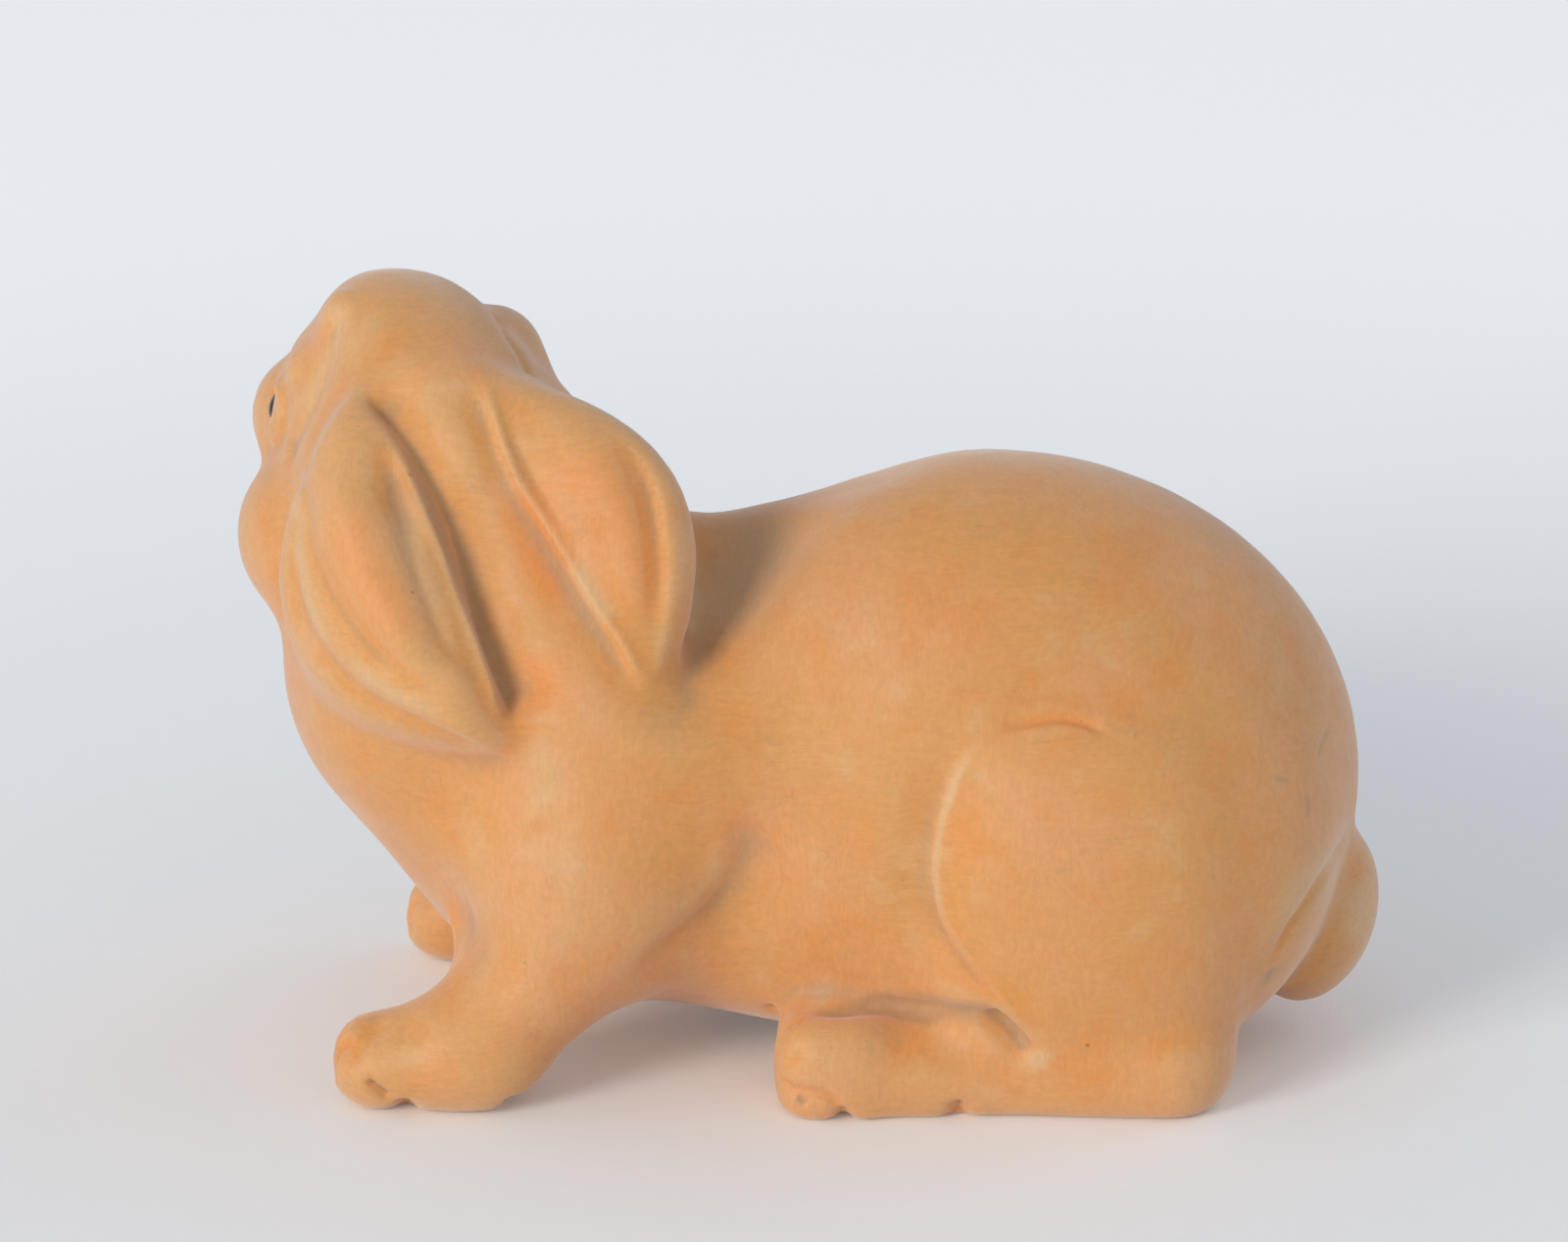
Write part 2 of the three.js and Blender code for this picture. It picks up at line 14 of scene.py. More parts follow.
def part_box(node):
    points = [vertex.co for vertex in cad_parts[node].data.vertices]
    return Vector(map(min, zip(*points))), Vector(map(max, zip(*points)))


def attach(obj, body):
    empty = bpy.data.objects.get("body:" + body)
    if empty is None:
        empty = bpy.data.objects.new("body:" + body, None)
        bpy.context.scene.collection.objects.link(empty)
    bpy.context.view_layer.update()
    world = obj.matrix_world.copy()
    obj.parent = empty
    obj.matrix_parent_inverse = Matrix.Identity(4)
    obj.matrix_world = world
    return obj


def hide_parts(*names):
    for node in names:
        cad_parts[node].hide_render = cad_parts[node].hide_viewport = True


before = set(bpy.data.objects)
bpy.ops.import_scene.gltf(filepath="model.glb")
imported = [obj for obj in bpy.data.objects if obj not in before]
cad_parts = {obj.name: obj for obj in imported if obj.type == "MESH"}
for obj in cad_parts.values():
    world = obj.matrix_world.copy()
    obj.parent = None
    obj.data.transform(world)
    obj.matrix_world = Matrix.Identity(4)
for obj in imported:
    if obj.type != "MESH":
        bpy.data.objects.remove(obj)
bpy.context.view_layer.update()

MM = 0.001


# Camera
# It stands on the rabbit's left, a little higher than its head, as the photograph's did.
# Its target is in the middle of the picture. The long lens keeps the carving's proportions.
CAMERA_ELEVATION = math.radians(18)
CAMERA_DISTANCE = 320 * MM
CAMERA_TARGET = Vector((-1.16, 0, 18.87)) * MM
CAMERA_LENS = 167.8
CAMERA_NEAR = 10 * MM
CAMERA_FAR = 20

camera_back = Vector((0, -math.cos(CAMERA_ELEVATION), math.sin(CAMERA_ELEVATION)))
camera_up = Vector((0, math.sin(CAMERA_ELEVATION), math.cos(CAMERA_ELEVATION)))
camera_place = CAMERA_TARGET + camera_back * CAMERA_DISTANCE
camera_data = bpy.data.cameras.new("camera")
camera_data.lens = CAMERA_LENS
camera_data.clip_start = CAMERA_NEAR
camera_data.clip_end = CAMERA_FAR
camera = bpy.data.objects.new("camera", camera_data)
camera.location = camera_place
camera.rotation_mode = "QUATERNION"
camera.rotation_quaternion = (-camera_back).to_track_quat("-Z", "Y")
bpy.context.scene.collection.objects.link(camera)
bpy.context.scene.camera = camera


# Carved body
# One block of boxwood, cut with knives and small gouges, then scraped, stained and polished by hand.
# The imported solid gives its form. Here it gets fine even faces, and the knife work is cut into it.
BODY_VOXEL = 0.29 * MM
BODY_SMOOTHING = 6
MERGE_DISTANCE = 0.001 * MM
HEAD_ROLL = 4
HEAD_PITCH = -21.5
HEAD_YAW = 107
EYE_TURN_FORWARD = math.radians(28)
SOCKET_RADIUS = 1.4
SOCKET_DEPTH = 3.2
SOCKET_SEGMENTS = 32
SOCKET_LEVELS = {"left_eye": 1.85, "right_eye": 1.5}

head_turn = Euler([math.radians(turn) for turn in (HEAD_ROLL, HEAD_PITCH, HEAD_YAW)], "XYZ").to_matrix()


def node_centre(node):
    low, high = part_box(node)
    return (Vector(low) + Vector(high)) / 2


def eye_directions(side):
    """Where an eye looks, and the direction along its lids; side is 1 on the left and -1 on the right"""
    ahead = Vector((math.sin(EYE_TURN_FORWARD), side * math.cos(EYE_TURN_FORWARD), 0))
    along = Vector((math.cos(EYE_TURN_FORWARD), -side * math.sin(EYE_TURN_FORWARD), 0))
    return head_turn @ ahead, head_turn @ along


def fill_socket(shape, node, side):
    """Closes the gap round an eye's peg, which the lids hide on the carving"""
    outward, _ = eye_directions(side)
    plug = bmesh.ops.create_cone(
        shape,
        cap_ends=True,
        segments=SOCKET_SEGMENTS,
        radius1=SOCKET_RADIUS * MM,
        radius2=SOCKET_RADIUS * MM,
        depth=SOCKET_DEPTH * MM,
    )["verts"]
    bmesh.ops.rotate(shape, verts=plug, matrix=outward.to_track_quat("Z", "Y").to_matrix())
    sunk = node_centre(node) - outward * (SOCKET_DEPTH / 2 - SOCKET_LEVELS[node]) * MM
    bmesh.ops.translate(shape, verts=plug, vec=sunk)


def fine_copy(node, voxel, name):
    """A closed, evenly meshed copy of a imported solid"""
    shape = bmesh.new()
    shape.from_mesh(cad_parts[node].data)
    bmesh.ops.remove_doubles(shape, verts=shape.verts, dist=MERGE_DISTANCE)
    fill_socket(shape, "left_eye", 1)
    fill_socket(shape, "right_eye", -1)
    mesh = bpy.data.meshes.new(name)
    shape.to_mesh(mesh)
    shape.free()
    piece = bpy.data.objects.new(name, mesh)
    bpy.context.scene.collection.objects.link(piece)
    remesh = piece.modifiers.new("even_faces", "REMESH")
    remesh.mode = "VOXEL"
    remesh.voxel_size = voxel
    evened = piece.evaluated_get(bpy.context.evaluated_depsgraph_get())
    piece.data = bpy.data.meshes.new_from_object(evened)
    piece.modifiers.clear()
    return piece


class Surface:
    """A mesh's vertices as arrays, so that a stroke can move thousands of them at once"""

    def __init__(self, mesh):
        self.mesh = mesh
        count = len(mesh.vertices)
        self.places = np.empty(count * 3)
        mesh.vertices.foreach_get("co", self.places)
        self.places = self.places.reshape(-1, 3)
        self.edges = np.empty(len(mesh.edges) * 2, dtype=np.int64)
        mesh.edges.foreach_get("vertices", self.edges)
        self.edges = self.edges.reshape(-1, 2)
        self.links = np.bincount(self.edges.ravel(), minlength=count)[:, None]
        self.refresh()

    def refresh(self):
        """Moves the vertices to their places and reads the normals again"""
        self.mesh.vertices.foreach_set("co", self.places.ravel())
        self.mesh.update()
        self.normals = np.empty(len(self.places) * 3)
        self.mesh.vertex_normals.foreach_get("vector", self.normals)
        self.normals = self.normals.reshape(-1, 3)

    def averaged(self, values, times):
        """Values passed to and fro between neighbours, so that they even out"""
        first, second = self.edges.T
        for _ in range(times):
            total = np.zeros_like(values)
            for column in range(values.shape[1]):
                total[:, column] += np.bincount(first, values[second, column], len(values))
                total[:, column] += np.bincount(second, values[first, column], len(values))
            values = (values + total / self.links) / 2
        return values

    def smooth(self, times):
        self.places = self.averaged(self.places, times)
        self.refresh()

    def keep(self, name, values):
        """Stores one number for each vertex, for the material to read"""
        attribute = self.mesh.attributes.new(name, "FLOAT", "POINT")
        attribute.data.foreach_set("value", values.astype(np.float32))


body = fine_copy("carved_body", BODY_VOXEL, "boxwood_body")
surface = Surface(body.data)
surface.smooth(BODY_SMOOTHING)
smooth_wood = BVHTree.FromPolygons(
    [Vector(place) for place in surface.places], [list(face.vertices) for face in body.data.polygons]
)


# Knife work on the ears
# Each ear lies back on the nape: a swelling middle, a groove, and a rim that stands up at the edge.
# The knife went in steeply beside the rims, so that a shadow lies there.
PHOTO_WIDTH = 1600
PHOTO_HEIGHT = 1267
LEFT_EAR_INNER_RIM = [
    (398, 446), (410, 472), (431, 522), (448, 564), (460, 602), (477, 643), (502, 710), (514, 738),
]
LEFT_EAR_VALLEY = [(388, 450), (404, 496), (423, 556), (440, 604), (458, 652), (477, 702)]
LEFT_EAR_MIDDLE = [(330, 455), (345, 510), (362, 560), (386, 615), (418, 668), (452, 712)]
LEFT_EAR_WEDGE = [
    (372, 392), (388, 414), (412, 446), (434, 484), (452, 516), (468, 556), (480, 597), (493, 640),
    (508, 680), (521, 715), (527, 742),
]
LEFT_EAR_OUTER_EDGE = [
    (302, 500), (298, 540), (299, 580), (304, 612), (315, 642), (332, 668), (352, 690), (372, 708),
    (396, 723), (423, 736), (452, 749), (477, 758), (500, 762),
]
LEFT_EAR_OUTER_GROOVE = [
    (310, 462), (305, 502), (308, 543), (319, 581), (335, 614), (352, 639), (373, 664), (398, 685),
    (427, 706), (456, 722),
]
RIGHT_EAR_INNER_RIM = [
    (490, 380), (499, 410), (511, 446), (527, 487), (548, 520), (569, 553), (590, 587), (610, 620),
    (631, 650), (650, 684), (662, 708),
]
RIGHT_EAR_INNER_CREASE = [
    (483, 384), (491, 414), (503, 452), (518, 494), (538, 528), (560, 562), (581, 596), (601, 629),
    (622, 660), (640, 692), (654, 712),
]
RIGHT_EAR_SECOND_CREASE = [(510, 420), (530, 462), (550, 499), (572, 530), (586, 552)]
RIGHT_EAR_OUTER_GROOVE = [
    (606, 428), (630, 446), (650, 468), (664, 496), (671, 530), (675, 570), (675, 603), (671, 637),
    (664, 668), (654, 690),
]
RIGHT_EAR_FOOT = [(716, 540), (716, 580), (712, 620), (702, 655), (688, 688)]
RIGHT_EAR_TIP = [(674, 696), (686, 710), (702, 722)]


def seen(*pixels):
    """The places on the wood that the photograph shows at some of its pixels; others are left out"""
    pixel = camera_data.sensor_width / CAMERA_LENS / PHOTO_WIDTH
    places = []
    for across, down in pixels:
        aim = Vector(((across - PHOTO_WIDTH / 2) * pixel, 0, 0)) - camera_back
        aim += camera_up * (PHOTO_HEIGHT / 2 - down) * pixel
        hit = smooth_wood.ray_cast(camera_place, aim.normalized())[0]
        if hit is not None:
            places.append(hit)
    return places


def ear_cuts():
    return [
        (seen(*LEFT_EAR_WEDGE), 0.8, dict(width=0.3, right_width=1.7, taper=0.1)),
        (seen(*LEFT_EAR_INNER_RIM), -0.3, dict(width=0.3, right_width=0.3)),
        (seen(*LEFT_EAR_VALLEY), 0.5, dict(width=1.5, right_width=0.5, taper=0.25)),
        (seen(*LEFT_EAR_MIDDLE), -0.4, dict(width=1.1, taper=0.3)),
        (seen(*LEFT_EAR_OUTER_EDGE), 0.28, dict(width=0.9, right_width=0.36, taper=0.1)),
        (seen(*LEFT_EAR_OUTER_GROOVE), 0.36, dict(width=0.5, right_width=0.9, taper=0.25)),
        (seen(*RIGHT_EAR_INNER_RIM), -0.2, dict(width=0.26, right_width=0.34, taper=0.12)),
        (seen(*RIGHT_EAR_INNER_CREASE), 0.22, dict(width=0.8, right_width=0.24, taper=0.15)),
        (seen(*RIGHT_EAR_SECOND_CREASE), 0.1, dict(width=0.22, taper=0.4)),
        (seen(*RIGHT_EAR_OUTER_GROOVE), 0.42, dict(width=0.9, right_width=0.24, taper=0.35)),
        (seen(*RIGHT_EAR_FOOT), 0.45, dict(width=0.35, right_width=1.8, taper=0.3)),
        (seen(*RIGHT_EAR_TIP), -0.2, dict(width=0.7, taper=0.4)),
    ]


# Knife work on the back, legs and tail
# The back is hollowed behind the ears. A groove and one short cut set off the haunch, a groove with
# a deep pocket parts each foot from the belly, and short cuts part the toes and the pads.
HAUNCH_CUT = [(1022, 746), (1035, 741), (1054, 737), (1081, 734), (1104, 738), (1118, 744), (1129, 752)]
HAUNCH_FRONT = [
    (1008, 742), (984, 770), (962, 806), (950, 850), (946, 900), (955, 942), (972, 975), (998, 1005),
    (1022, 1036), (1046, 1066),
]
HAUNCH_FRONT_EDGE = [
    (1004, 756), (982, 784), (966, 820), (957, 860), (955, 900), (964, 938), (982, 970), (1006, 1000),
    (1030, 1030), (1052, 1058),
]
FOOT_TOP = [
    (806, 1036), (850, 1030), (899, 1024), (927, 1027), (959, 1029), (983, 1034), (1008, 1040),
    (1024, 1051), (1040, 1066), (1052, 1077),
]
FOOT_POCKET = [(996, 1032), (1016, 1044), (1034, 1058), (1048, 1072), (1056, 1082)]
HIND_TOE_CLEFT = [(797, 1102), (814, 1112), (836, 1116), (850, 1123), (860, 1130)]
HIND_TOE_PIT = [(812, 1119), (818, 1123), (824, 1126)]
HIND_TOE_KNUCKLE = [(800, 1090), (816, 1076), (832, 1068)]
HIND_TOE_MARK = [(803, 1051), (811, 1042), (824, 1040)]
HIND_NOTCHES = (1.4, 6.4)
FOREPAW_TOE = [(390, 1036), (382, 1048), (372, 1060), (361, 1075), (356, 1092)]
FOREPAW_PIT = [(373, 1100), (380, 1108), (389, 1115), (400, 1122)]
FOREPAW_NOTCHES = (-17.5, -12.7)
FOREPAW_DIMPLE = [(400, 1048), (420, 1053), (445, 1058)]
FORELEG_REAR = [(768, 800), (766, 850), (754, 898), (724, 932), (690, 960), (658, 986), (638, 1004)]
TAIL_CREASE = [(1376, 852), (1362, 876), (1346, 902), (1332, 924), (1318, 945), (1304, 968), (1294, 988)]
RUMP_SCRATCHES = (
    [(1359, 738), (1350, 756), (1343, 776)],
    [(1296, 792), (1308, 795), (1318, 798)],
    [(1332, 806), (1335, 822), (1333, 838)],
)
SADDLE = [(-4.5, 0.5, 23.8), (-1.5, 0.5, 24.6), (1.5, 0.5, 25.8), (4.5, 0.5, 27.3), (7.5, 0.5, 28.3)]
WRIST_HOLLOW = [
    (-11.5, -12, 7), (-14.5, -12, 7.4), (-16.8, -10.4, 7.8), (-17, -8, 7.8), (-16.4, -6, 7.8),
    (-14.4, -4.6, 7.6),
]
FOREPAW_HEEL = [(-12.9, -10.9, -0.2), (-12.9, -9.4, -0.2), (-12.9, -7.8, -0.2)]
FOREPAW_DRAWN_BACK = 2.3
# Each paw's front along X and its middle along Y, on the left and on the right
HIND_FEET = ((-1.9, -8.8), (-1.9, 8.4))
HIND_TOE_SPREAD = 1.45
HIND_FOOT_HEIGHT = 3.4
FOREPAWS = ((-20.9, -9.3), (-18.6, 8.8))
FORE_TOE_SPREAD = 1.0
FOREPAW_HEIGHT = 3.2
# Each side, the outer edges of its hind foot and forepaw along Y, and how far the forepaw is drawn back
PAW_EDGES = ((-1, -11.9, -10.8, 0), (1, 11.5, 10.4, FOREPAW_DRAWN_BACK))
TOE_DEPTH = 0.4
TOE_WIDTH = 0.28
NOTCH_DEPTH = 0.45
NOTCH_WIDTH = 0.4


def on_wood(*points):
    """The places on the wood that lie nearest to some points, given in millimetres"""
    return [smooth_wood.find_nearest(Vector(point) * MM)[0] for point in points]


def on_right_side(line, back=0):
    """The same stroke on the rabbit's right side, where its leg may be drawn back"""
    return [smooth_wood.find_nearest(Vector((place.x + back * MM, -place.y, place.z)))[0] for place in line]


def toe_cuts(front, centre, spread, height):
    """The three short cuts that part a paw's toes, from the sole up over the front"""
    cuts = []
    for place in (centre - spread, centre, centre + spread):
        line = on_wood(
            (front - 0.6, place, 0.2),
            (front - 0.6, place, 0.4 * height),
            (front - 0.1, place, 0.85 * height),
            (front + 1.3, place, height + 0.4),
        )
        cuts.append((line, TOE_DEPTH, dict(width=TOE_WIDTH, taper=0.3)))
    return cuts


def sole_notch(place, side, outside):
    """A nick in a sole's outer edge, from the side of the paw to its underside"""
    line = on_wood(
        (place, outside + side * 0.5, 1.1),
        (place, outside + side * 0.3, 0.3),
        (place, outside - side * 0.3, -0.4),
        (place, outside - side * 1.2, -0.4),
    )
    return line, NOTCH_DEPTH, dict(width=NOTCH_WIDTH, taper=0.3)


def leg_cuts():
    """The left side's cuts are repeated on the right, drawn back by their last number, in mm"""
    left_cuts = [
        (seen(*HAUNCH_CUT), 0.19, dict(width=0.15, right_width=0.3, taper=0.14), 0),
        (seen(*HAUNCH_FRONT), 0.3, dict(width=1.2, right_width=0.4, taper=0.3), 0),
        (seen(*HAUNCH_FRONT_EDGE), -0.1, dict(width=0.3), 0),
        (seen(*FOOT_TOP), 0.4, dict(width=0.5, right_width=0.3, taper=0.2), 0),
        (seen(*FOOT_POCKET), 0.75, dict(width=0.6, right_width=0.4, taper=0.3), 0),
        (seen(*HIND_TOE_CLEFT), 0.28, dict(width=0.24), 0),
        (seen(*HIND_TOE_PIT), 0.15, dict(width=0.2, taper=0.3), 0),
        (seen(*HIND_TOE_KNUCKLE), 0.1, dict(width=0.4, taper=0.4), 0),
        (seen(*HIND_TOE_MARK), 0.14, dict(width=0.2), 0),
        (seen(*FORELEG_REAR), 0.45, dict(width=0.7, right_width=2.2, taper=0.3), 0),
        (seen(*FOREPAW_TOE), 0.35, dict(width=0.6, right_width=0.4, taper=0.3), FOREPAW_DRAWN_BACK),
        (seen(*FOREPAW_PIT), 0.45, dict(width=0.17, taper=0.2), FOREPAW_DRAWN_BACK),
        (on_wood(*WRIST_HOLLOW), 0.9, dict(width=2.1, taper=0.42), FOREPAW_DRAWN_BACK),
        (on_wood(*FOREPAW_HEEL), 0.6, dict(width=1.1, taper=0.05), FOREPAW_DRAWN_BACK),
        (seen(*FOREPAW_DIMPLE), 0.14, dict(width=0.6, taper=0.4), FOREPAW_DRAWN_BACK),
        (seen(*TAIL_CREASE), 0.25, dict(width=0.4, taper=0.2), 0),
        *[(seen(*scratch), 0.04, dict(width=0.1), 0) for scratch in RUMP_SCRATCHES],
    ]
    cuts = []
    for line, depth, shape, back in left_cuts:
        cuts.append((line, depth, shape))
        cuts.append((on_right_side(line, back), depth, shape))
    cuts.append((on_wood(*SADDLE), 0.6, dict(width=3.4, taper=0.45)))
    for front, centre in HIND_FEET:
        cuts += toe_cuts(front, centre, HIND_TOE_SPREAD, HIND_FOOT_HEIGHT)
    for front, centre in FOREPAWS:
        cuts += toe_cuts(front, centre, FORE_TOE_SPREAD, FOREPAW_HEIGHT)
    for side, hind_outside, fore_outside, back in PAW_EDGES:
        cuts += [sole_notch(place, side, hind_outside) for place in HIND_NOTCHES]
        cuts += [sole_notch(place + back, side, fore_outside) for place in FOREPAW_NOTCHES]
    return cuts


# Knife work on the face
# It looks away from the camera, over the rabbit's right shoulder. The nose is a small split pad above
# a parted lip, with whisker pads beside it, and a narrow lid lies round each eye.
HEAD_CENTRE = Vector((-17.14, 2.39, 27.2))
NOSTRIL = [(10.6, 0.25, -1.35), (10.4, 0.8, -0.95), (10.0, 1.35, -0.55), (9.2, 1.7, -0.3)]
LIP_PART = [(10.8, 0, -1.3), (10.6, 0, -2.1), (10.2, 0, -3.0), (9.8, 0, -3.6)]
MOUTH = [(9.9, 0, -3.6), (9.5, 0.9, -4.1), (8.8, 1.8, -4.2), (7.9, 2.5, -3.9), (7.1, 3.0, -3.4)]
CHIN_FOLD = [(8.2, -1.8, -5.4), (8.6, 0, -5.7), (8.2, 1.8, -5.4)]
WHISKER_PAD = [(8.8, 1.7, -2.3), (7.6, 2.4, -2.3)]
LEFT_HEAD_CREASE = [(331, 330), (335, 345), (331, 372), (319, 407), (302, 442), (290, 468)]
LEFT_BROW = [(308, 352), (303, 372), (299, 394)]
CROWN_EDGE = [(356, 292), (347, 304), (340, 317), (336, 330)]
RIGHT_HEAD_CREASE = [(504, 318), (516, 337), (531, 361), (546, 386)]
LID_HALF_LENGTH = 1.22
LID_HALF_HEIGHT = 0.95
LID_HEIGHT = 0.22
LID_WIDTH = 0.28
LID_CORNERS = 0.3
LID_OUTWARD = 0.8
LID_SPOTS = 16
NO_TAPER = 0.001


def on_head(*points):
    """Places on the wood near points that are given from the head's centre: noseward, left, crownward"""
    return on_wood(*[HEAD_CENTRE + head_turn @ Vector(point) for point in points])


def lid(node, side):
    """A closed almond line round an eye; LID_CORNERS makes its ends more pointed"""
    outward, along = eye_directions(side)
    across = outward.cross(along)
    points = []
    for spot in range(LID_SPOTS + 1):
        angle = spot / LID_SPOTS * math.tau
        reach = along * math.cos(angle) * LID_HALF_LENGTH
        reach += across * math.sin(angle) * abs(math.sin(angle)) ** LID_CORNERS * LID_HALF_HEIGHT
        points.append(smooth_wood.find_nearest(node_centre(node) + (reach + outward * LID_OUTWARD) * MM)[0])
    return points


def face_cuts():
    mirrored = [(NOSTRIL, 0.3, 0.2), (MOUTH, 0.35, 0.22), (WHISKER_PAD, -0.3, 1.1)]
    cuts = []
    for side in (1, -1):
        for points, depth, width in mirrored:
            line = on_head(*[(x, side * y, z) for x, y, z in points])
            cuts.append((line, depth, dict(width=width)))
    return [
        *cuts,
        (on_head(*LIP_PART), 0.4, dict(width=0.2, taper=0.05)),
        (on_head(*CHIN_FOLD), 0.2, dict(width=0.5, taper=0.4)),
        (lid("left_eye", 1), -LID_HEIGHT, dict(width=LID_WIDTH, taper=NO_TAPER)),
        (lid("right_eye", -1), -LID_HEIGHT, dict(width=LID_WIDTH, taper=NO_TAPER)),
        (seen(*LEFT_HEAD_CREASE), 0.32, dict(width=0.75, taper=0.1)),
        (seen(*CROWN_EDGE), -0.35, dict(width=0.9, taper=0.35)),
        (seen(*LEFT_BROW), -0.35, dict(width=0.8, taper=0.3)),
        (seen(*RIGHT_HEAD_CREASE), 0.22, dict(width=0.35)),
    ]


# The cutting itself
# Narrow strokes get finer faces first. All strokes are added up on the smooth form, and the wood
# then moves along its normals once, so that their order doesn't matter.
STROKE_STEP = 0.12 * MM
STROKE_REACH = 2.6
NARROW_STROKE = 0.45
FINE_REACH = 0.45 * MM
FINE_SMOOTHING = 1
CUT_SMOOTHING = 1
HOLLOW_SPREAD = 26
BROAD_SPREAD = 220


def curve_through(points, step):
    """Evenly spaced places on a smooth curve through a few points"""
    points = [Vector(point) for point in points]
    padded = [2 * points[0] - points[1], *points, 2 * points[-1] - points[-2]]
    places = []
    for before, start, end, after in zip(padded, padded[1:], padded[2:], padded[3:]):
        parts = max(1, math.ceil((end - start).length / step))
        for part in range(parts):
            share = part / parts
            level = (2 * before - 5 * start + 4 * end - after) * share**2
            curl = (3 * start - before - 3 * end + after) * share**3
            places.append(start + ((end - before) * share + level + curl) / 2)
    return [*places, points[-1]]


def near_line(places, line, reach):
    """The rows of places near a line, with how far each lies from it and from which of its spots"""
    spots = np.array(curve_through(line, STROKE_STEP))
    close = (places > spots.min(axis=0) - reach) & (places < spots.max(axis=0) + reach)
    rows = np.flatnonzero(close.all(axis=1))
    found = places[rows]
    squares = (found**2).sum(axis=1)[:, None] - 2 * found @ spots.T + (spots**2).sum(axis=1)
    return rows, np.sqrt(np.maximum(squares.min(axis=1), 0)), squares.argmin(axis=1), spots


def touch(surface, line, width, right_width=None, taper=0.15):
    """How much each vertex by a line belongs to a stroke of the knife, from 0 to 1

    Where the line runs down the photograph, width is the stroke's reach to its left, in mm, and
    right_width the reach to its right. The taper is the share of its length that fades at each end.
    """
    widest = max(width, right_width or 0)
    rows, away, nearest, spots = near_line(surface.places, line, STROKE_REACH * widest * MM)
    along = np.gradient(spots, axis=0)[nearest]
    rightward = np.cross(surface.normals[rows], along)
    on_right = ((surface.places[rows] - spots[nearest]) * rightward).sum(axis=1) > 0
    share = away / (np.where(on_right, right_width or width, width) * MM)
    place = nearest / (len(spots) - 1)
    ends = np.clip(np.minimum(place, 1 - place) / taper, 0, 1)
    return rows, np.exp(-(share**2)) * ends * ends * (3 - 2 * ends)


def finer_along(piece, lines, reach):
    """Splits the faces by some lines"""
    shape = bmesh.new()
    shape.from_mesh(piece.data)
    shape.verts.ensure_lookup_table()
    places = np.array([vertex.co for vertex in shape.verts])
    near = np.zeros(len(places), dtype=bool)
    for line in lines:
        rows, away, _, _ = near_line(places, line, reach)
        near[rows[away < reach]] = True
    edges = [edge for edge in shape.edges if near[edge.verts[0].index] and near[edge.verts[1].index]]
    bmesh.ops.subdivide_edges(shape, edges=edges, cuts=1, use_grid_fill=True)
    shape.to_mesh(piece.data)
    shape.free()


cuts = [*ear_cuts(), *leg_cuts(), *face_cuts()]
finer_along(body, [line for line, _, shape in cuts if shape["width"] < NARROW_STROKE], FINE_REACH)
surface = Surface(body.data)
surface.smooth(FINE_SMOOTHING)
rise = np.zeros(len(surface.places))
for line, depth, shape in cuts:
    rows, share = touch(surface, line, **shape)
    np.add.at(rise, rows, -depth * MM * share)
surface.places += surface.normals * rise[:, None]
surface.smooth(CUT_SMOOTHING)
# How deep each vertex lies in a narrow and in a wide hollow: the material paints shade into these.
fine_mean = surface.averaged(surface.places, HOLLOW_SPREAD)
broad_mean = surface.averaged(fine_mean, BROAD_SPREAD)
surface.keep("hollow", ((fine_mean - surface.places) * surface.normals).sum(axis=1) / MM)
surface.keep("valley", ((broad_mean - surface.places) * surface.normals).sum(axis=1) / MM)
for polygon in body.data.polygons:
    polygon.use_smooth = True

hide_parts("carved_body")
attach(body, "root")


# Colours of the wood
# Paint that no rule gives: paler where the polish wore the stain away, greyer where dust and stain
# stayed, and more orange where the wood is freshly rubbed. Some strokes paint light and shade instead:
# painted highlights on two edges, a painted haze on the tail, and painted shadows beside the left ear,
# behind the right ear and over the saddle.
TINT_TAPER = 0.3
